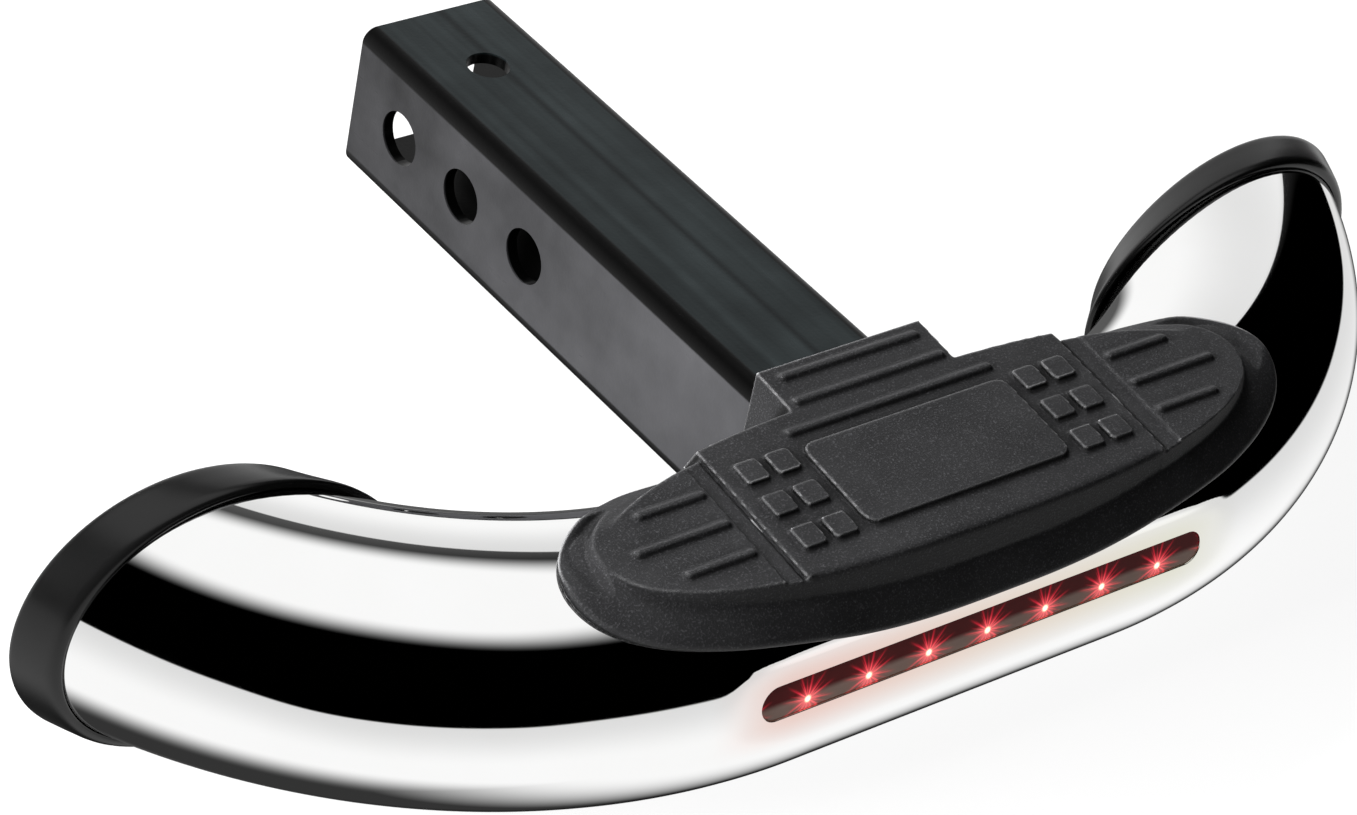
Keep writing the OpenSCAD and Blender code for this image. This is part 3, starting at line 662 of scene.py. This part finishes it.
def skin_after(kind, **settings):
    """Applies one modifier to the pad's mesh."""
    step = pad.modifiers.new("step", kind)
    for name, value in settings.items():
        setattr(step, name, value)
    mesh = bpy.data.meshes.new_from_object(pad.evaluated_get(bpy.context.evaluated_depsgraph_get()))
    pad.modifiers.clear()
    pad.data = mesh


def pad_spots():
    """The points of the pad's mesh in the bar's frame, in millimetres."""
    found = np.empty(3 * len(pad.data.vertices))
    pad.data.vertices.foreach_get("co", found)
    return found.reshape(-1, 3) * 1000 - to_row([[0, 0, 0]])


def soften(name, share, rounds):
    """Smooths the pad's skin by each point's share, which goes from nought to one."""
    group = pad.vertex_groups.new(name=name)
    for level in range(1, 11):
        chosen = np.flatnonzero(np.round(share * 10) == level)
        group.add(chosen.tolist(), level / 10, "REPLACE")
    skin_after("SMOOTH", factor=0.5, iterations=rounds, vertex_group=name)


skin_after("REMESH", mode="VOXEL", voxel_size=0.0005)
skin_after("SMOOTH", factor=0.5, iterations=1)
# Outside the end plateaus the skin drops to a small groove and a shelf, 0.7 mm over the bar or more
SHELF_DROP, GROOVE_DROP, GROOVE_OUT, SHELF_STARTS, LEAST = 1.8, 0.8, 1.3, 67, 0.7
spots = pad_spots()
# How far out of the plateau's oval each point is, and how high the bar is under it
oval = (np.abs(spots[:, 0] / PLATEAU_HALF) ** PLATEAU_POWER
        + np.abs((spots[:, 1] + PAD_FWD) / PLATEAU_HALF_W) ** PLATEAU_POWER) ** (1 / PLATEAU_POWER)
out = (oval - 1) * PLATEAU_HALF_W
drop = SHELF_DROP * ease(out / 0.8) + GROOVE_DROP * ease(1 - np.abs(out - GROOVE_OUT) / 1.1)
drop *= ease((np.abs(spots[:, 0]) - SHELF_STARTS) / 1.5)
off_axis = np.hypot(np.maximum(np.abs(spots[:, 0]) - MIDDLE, 0), BEND - spots[:, 1]) - BEND
on_bar = np.sqrt(np.maximum(SEAT ** 2 - off_axis ** 2, 0))
lowered = np.maximum(pad_plane(spots[:, 1]) - drop, on_bar + LEAST)
moved = (drop > 0) & (spots[:, 2] > lowered)
spots[moved, 2] = lowered[moved]
pad.data.vertices.foreach_set("co", (to_row(spots) / 1000).ravel())
skin_after("SMOOTH", factor=0.5, iterations=1)
# The shelf is rounder towards the pad's ends, where it stands clear of the bar
OUT_FROM, END_FROM, CLEAR_FROM = 1.09, 90, 0.8
soft = ease((oval - OUT_FROM) / 0.03) * ease((np.abs(spots[:, 0]) - END_FROM) / 15)
soft *= ease((spots[:, 2] - on_bar - CLEAR_FROM) / 0.4)
soften("end_shelf", soft, 40)
# The deck's front edge is rounder than the rest, 4.5 mm in from its line and 5 mm down, but
# not past the deck's ends
DECK_FWD, ROUND_IN, ROUND_DOWN, DECK_END = 1, 4.5, 5.0, 66
spots = pad_spots()
deck_line = DECK_HALF_W * np.sqrt(np.maximum(1 - np.abs(spots[:, 0] / DECK_HALF) ** DECK_POWER, 0))
past = np.abs(spots[:, 1] + DECK_FWD) - deck_line
below = pad_plane(spots[:, 1]) - spots[:, 2]
soft = ease((past + ROUND_IN) / 2) * ease((ROUND_DOWN - below) / 2)
soft *= ease((DECK_END - np.abs(spots[:, 0])) / 2) * (spots[:, 1] < 0)
soften("deck_edge", soft, 70)
skin_after("DECIMATE", ratio=0.33)
pad.data.shade_smooth()

# Dull charcoal, clouded over 20 mm, with a fine grain whose pale specks are painted glints. Painted shade
# makes it black at the foot of each rib and block, and painted highlights grey its edges.
pad_plastic, tree, shader = finish_of("grained charcoal moulded plastic")
here = add(tree, "TexCoord").outputs["Object"]
cloud = add(tree, "TexNoise", {"Vector": here, "Scale": 1 / 0.02, "Detail": 5.0, "Roughness": 0.65})
# Spark-eroded grain, drawn at 0.6 mm, coarser than the real 0.2 mm so that it shows
grain = add(tree, "TexNoise", {"Vector": here, "Scale": 1 / 0.0006, "Detail": 2.0, "Roughness": 0.6})
# Its pale specks are painted glints, as the grain catches the light
grain_glint = add(tree, "MapRange", {0: grain, 1: 0.54, 2: 0.76, 3: 0.0, 4: 1.0})
tone = add(tree, "MixRGB", {0: cloud, 1: linear("#111112"), 2: linear("#2a2a2b")})
tone = add(tree, "MixRGB", {0: grain_glint, 1: tone, 2: linear("#404042")})
# A foot is where a point is shut in, and an edge is where little of the pad stands behind it
root = add(tree, "AmbientOcclusion", {"Distance": 0.005}, samples=8)
foot_shade = add(tree, "MapRange", {0: root.outputs["AO"], 1: 0.74, 2: 0.98, 3: 0.0, 4: 1.0})
# Painted shade: each foot is painted near black
tone = add(tree, "MixRGB", {0: foot_shade, 1: linear("#040404"), 2: tone})
edges_in = add(tree, "AmbientOcclusion", {"Distance": 0.0008}, samples=8, inside=True)
edge_highlight = add(tree, "MapRange", {0: edges_in.outputs["AO"], 1: 0.6, 2: 0.92, 3: 1.0, 4: 0.0})
# Painted highlight: each edge is painted a lighter grey
tone = add(tree, "MixRGB", {0: edge_highlight, 1: tone, 2: linear("#8c8c8d")})
tree.links.new(tone.outputs[0], shader.inputs["Base Color"])
rough = add(tree, "MapRange", {0: cloud, 3: 0.36, 4: 0.5})
tree.links.new(rough.outputs[0], shader.inputs["Roughness"])
shader.inputs["IOR"].default_value = 1.5
shader.inputs["Specular IOR Level"].default_value = 0.15
bump = add(tree, "Bump", {"Height": grain, "Strength": 0.45, "Distance": 0.0003})
tree.links.new(bump.outputs[0], shader.inputs["Normal"])
pad.data.materials.clear()
pad.data.materials.append(pad_plastic)
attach(pad, "root")
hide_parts("step_pad")
dress(["step_pad", "pad_clips"], pad_plastic)


# Lens: one moulding in polished smoked red acrylic that fills the slot, its rim behind the
# bar's skin on a foam gasket. Each lamp behind it shows as a small star of light.

# In millimetres: from lamp to lamp, and how far they lie under the middle of the slot
LED_PITCH, LED_DROP = 22.1, 2.4
# Smoked acrylic is dark red and glossy. What it shows of the lamps and of the tray behind it
# is drawn as light and colour in its own skin.
lens_acrylic, tree, shader = finish_of("smoked red acrylic")
along, up = lamp_place(tree)
which = add(tree, "Math", {0: along, 1: LED_PITCH}, operation="DIVIDE")
which = add(tree, "Math", {0: which}, operation="ROUND")
lamp_x = add(tree, "Math", {0: which, 1: LED_PITCH}, operation="MULTIPLY")
from_x = add(tree, "Math", {0: along, 1: lamp_x}, operation="SUBTRACT")
from_y = add(tree, "Math", {0: up, 1: LED_DROP}, operation="ADD")
from_lamp = add(tree, "CombineXYZ", {0: from_x, 1: from_y})
away = add(tree, "VectorMath", {0: from_lamp}, operation="LENGTH").outputs["Value"]
angle = add(tree, "Math", {0: from_y, 1: from_x}, operation="ARCTAN2")


def spokes(count, shift, sharp, length):
    """Rays round each lamp: twice count of them, turned by shift, thinner as sharp rises."""
    turned = add(tree, "Math", {0: angle, 1: float(count), 2: shift}, operation="MULTIPLY_ADD")
    wave = add(tree, "Math", {0: add(tree, "Math", {0: turned}, operation="COSINE")}, operation="ABSOLUTE")
    thin = add(tree, "Math", {0: wave, 1: float(sharp)}, operation="POWER")
    fade = add(tree, "MapRange", {0: away, 1: 0.8, 2: length, 3: 1.0, 4: 0.0},
               interpolation_type="SMOOTHSTEP")
    return add(tree, "Math", {0: thin, 1: fade}, operation="MULTIPLY")


# Each star has twelve long rays and eighteen short ones, round a pale core and a soft glow
long_rays = spokes(6, 0.9, 30, 10.5)
short_rays = spokes(9, 0.4, 24, 8.0)
rays = add(tree, "Math", {0: short_rays, 1: 0.8, 2: long_rays}, operation="MULTIPLY_ADD")
glow = add(tree, "MapRange", {0: away, 1: 0.5, 2: 6.0, 3: 0.5, 4: 0.0}, interpolation_type="SMOOTHERSTEP")
haze = add(tree, "MapRange", {0: away, 1: 1.0, 2: 11.0, 3: 0.05, 4: 0.0}, interpolation_type="SMOOTHERSTEP")
shine = add(tree, "Math", {0: rays, 1: glow}, operation="ADD")
shine = add(tree, "Math", {0: shine, 1: haze}, operation="ADD")
core = add(tree, "MapRange", {0: away, 1: 0.4, 2: 1.6, 3: 1.0, 4: 0.0}, interpolation_type="SMOOTHSTEP")
ray_tint = add(tree, "MapRange", {0: away, 1: 1.5, 2: 5.0, 3: 1.0, 4: 0.0})
tint = add(tree, "MixRGB", {0: ray_tint, 1: linear("#e8203a"), 2: linear("#ff5e66")})
tint = add(tree, "MixRGB", {0: core, 1: tint, 2: linear("#fff3c8")})
strength = add(tree, "Math", {0: core, 1: 1.1, 2: shine}, operation="MULTIPLY_ADD")
stars = add(tree, "VectorMath", {0: tint, "Scale": strength}, operation="SCALE")
# The lower half is painted pale, as the tray behind it lit by the lamps, and the upper half is painted
# shadow, cast by the slot's upper edge
depth = add(tree, "MapRange", {0: up, 1: -2.2, 2: 0.2, 3: 0.0, 4: 1.0}, interpolation_type="SMOOTHSTEP")
smoke_and_shadow = add(tree, "MixRGB", {0: depth, 1: linear("#ad8e84"), 2: linear("#6b1f1f")})
tree.links.new(smoke_and_shadow.outputs[0], shader.inputs["Base Color"])
lit_tray = add(tree, "MixRGB", {0: depth, 1: linear("#3c342f"), 2: linear("#200202")})
lit = add(tree, "MixRGB", {0: 1.0, 1: lit_tray, 2: stars.outputs["Vector"]}, blend_type="ADD")
tree.links.new(lit.outputs[0], shader.inputs["Emission Color"])
shader.inputs["Emission Strength"].default_value = 1.0
shader.inputs["Roughness"].default_value = 0.1
shader.inputs["IOR"].default_value = 1.49
shader.inputs["Specular IOR Level"].default_value = 0.05
dress(["lamp_lens"], lens_acrylic)


# Inside the lamp: the foam gasket, the black tray, the board with its seven lamps,
# resistors and screws, and the rubber bushes for its wire.

# Foam is the dullest black, speckled by cells 0.6 mm across
foam, tree, shader = finish_of("closed-cell foam")
here = add(tree, "TexCoord").outputs["Object"]
pores = add(tree, "TexVoronoi", {"Vector": here, "Scale": 1 / 0.0006})
tone = add(tree, "MixRGB", {0: pores, 1: linear("#151515"), 2: linear("#242424")})
tree.links.new(tone.outputs[0], shader.inputs["Base Color"])
shader.inputs["Roughness"].default_value = 0.95
dress(["lamp_gasket"], foam)

# Rubber is dull black with a faint grey bloom, in patches 4 mm across
bush_rubber, tree, shader = finish_of("moulded black rubber")
here = add(tree, "TexCoord").outputs["Object"]
bloom = add(tree, "TexNoise", {"Vector": here, "Scale": 1 / 0.004, "Detail": 3.0})
tone = add(tree, "MixRGB", {0: bloom, 1: linear("#141414"), 2: linear("#202021")})
tree.links.new(tone.outputs[0], shader.inputs["Base Color"])
rough = add(tree, "MapRange", {0: bloom, 3: 0.6, 4: 0.75})
tree.links.new(rough.outputs[0], shader.inputs["Roughness"])
dress(["lamp_wire_gland", "bar_wire_grommet"], bush_rubber)
# The tray is moulded in the same plastic as the caps
dress(["lamp_housing"], cap_plastic)

# Lacquer gives the board a dark red gloss, under which its glass weave of 0.6 mm just shows
board_lacquer, tree, shader = finish_of("lacquered circuit board")
here = add(tree, "TexCoord").outputs["Object"]
weave = add(tree, "TexChecker", {"Vector": here, "Scale": 1 / 0.0006})
weave.inputs["Color1"].default_value = linear("#2c1512")
weave.inputs["Color2"].default_value = linear("#351a16")
tree.links.new(weave.outputs[0], shader.inputs["Base Color"])
shader.inputs["Roughness"].default_value = 0.35
dress(["lamp_board"], board_lacquer)

# The lamps' epoxy glows red from within, a little unevenly over 2 mm, and has a clear gloss
lit_epoxy, tree, shader = finish_of("lit red epoxy")
here = add(tree, "TexCoord").outputs["Object"]
swirl = add(tree, "TexNoise", {"Vector": here, "Scale": 1 / 0.002})
tone = add(tree, "MixRGB", {0: swirl, 1: linear("#d81c12"), 2: linear("#f03020")})
tree.links.new(tone.outputs[0], shader.inputs["Base Color"])
tree.links.new(tone.outputs[0], shader.inputs["Emission Color"])
shader.inputs["Emission Strength"].default_value = 2.0
shader.inputs["Roughness"].default_value = 0.15
dress([f"led_{i}" for i in range(1, 8)], lit_epoxy)

# Lacquered ceramic is a sandy beige, mottled over 3 mm, with a soft gloss
resistor_lacquer, tree, shader = finish_of("lacquered ceramic")
here = add(tree, "TexCoord").outputs["Object"]
mottle = add(tree, "TexNoise", {"Vector": here, "Scale": 1 / 0.003})
tone = add(tree, "MixRGB", {0: mottle, 1: linear("#b89766"), 2: linear("#cdae7d")})
tree.links.new(tone.outputs[0], shader.inputs["Base Color"])
shader.inputs["Roughness"].default_value = 0.3
dress(["lamp_resistors"], resistor_lacquer)

# Zinc plate is a pale, slightly blue metal with crystals 1 mm across. It is dimmer than chrome
# and blurs what it mirrors.
zinc, tree, shader = finish_of("bright zinc plate")
here = add(tree, "TexCoord").outputs["Object"]
spangle = add(tree, "TexNoise", {"Vector": here, "Scale": 1 / 0.001})
tone = add(tree, "MixRGB", {0: spangle, 1: linear("#b7babd"), 2: linear("#cfd2d4")})
tree.links.new(tone.outputs[0], shader.inputs["Base Color"])
shader.inputs["Metallic"].default_value = 1.0
shader.inputs["Roughness"].default_value = 0.3
dress(["board_screws"], zinc)
